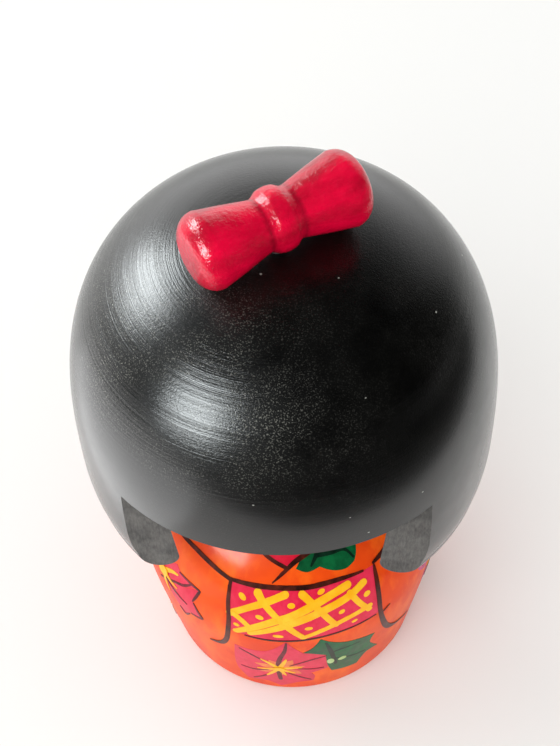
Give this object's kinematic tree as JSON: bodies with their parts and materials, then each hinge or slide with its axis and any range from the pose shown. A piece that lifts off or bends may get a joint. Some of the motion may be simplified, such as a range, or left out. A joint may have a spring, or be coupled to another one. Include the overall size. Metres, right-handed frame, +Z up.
{
  "type": "kokeshi doll",
  "caption": "Turned wooden doll with a rounded kimono body, a bobbed hollow hair cap notched over the face, and a spool bow on the crown.",
  "frame": {"origin": "centre of the flat underside that the doll stands on", "axes": "+Z up along the turning axis, -Y towards the doll's front, +X to the right of someone facing the doll"},
  "size_m": [0.076, 0.0758, 0.1243],
  "materials": {
    "kimono_paint": "orange kimono painted on turned wood under gloss varnish",
    "skin_paint": "pale wood under satin varnish, with a painted face",
    "black_lacquer": "semi-gloss black lacquer over fine lathe rings",
    "crimson_paint": "gloss crimson paint, brushed on",
    "bare_wood": "unfinished dowel"
  },
  "bodies": {
    "body": {"body": "kimono_paint", "neck_dowel": "bare_wood"},
    "head": {"head": "skin_paint", "hair_cap": "black_lacquer", "bow_dowel": "bare_wood"},
    "bow": {"bow": "crimson_paint"}
  },
  "joints": [
    {"name": "head_turn", "type": "hinge", "parent": "body", "child": "head", "pos_m": [0, 0, 0.0543], "axis": [0, 0, 1], "continuous": true},
    {"name": "bow_turn", "type": "hinge", "parent": "head", "child": "bow", "pos_m": [-0.00029, -0.00208, 0.1113], "axis": [0, 0, 1], "continuous": true}
  ]
}
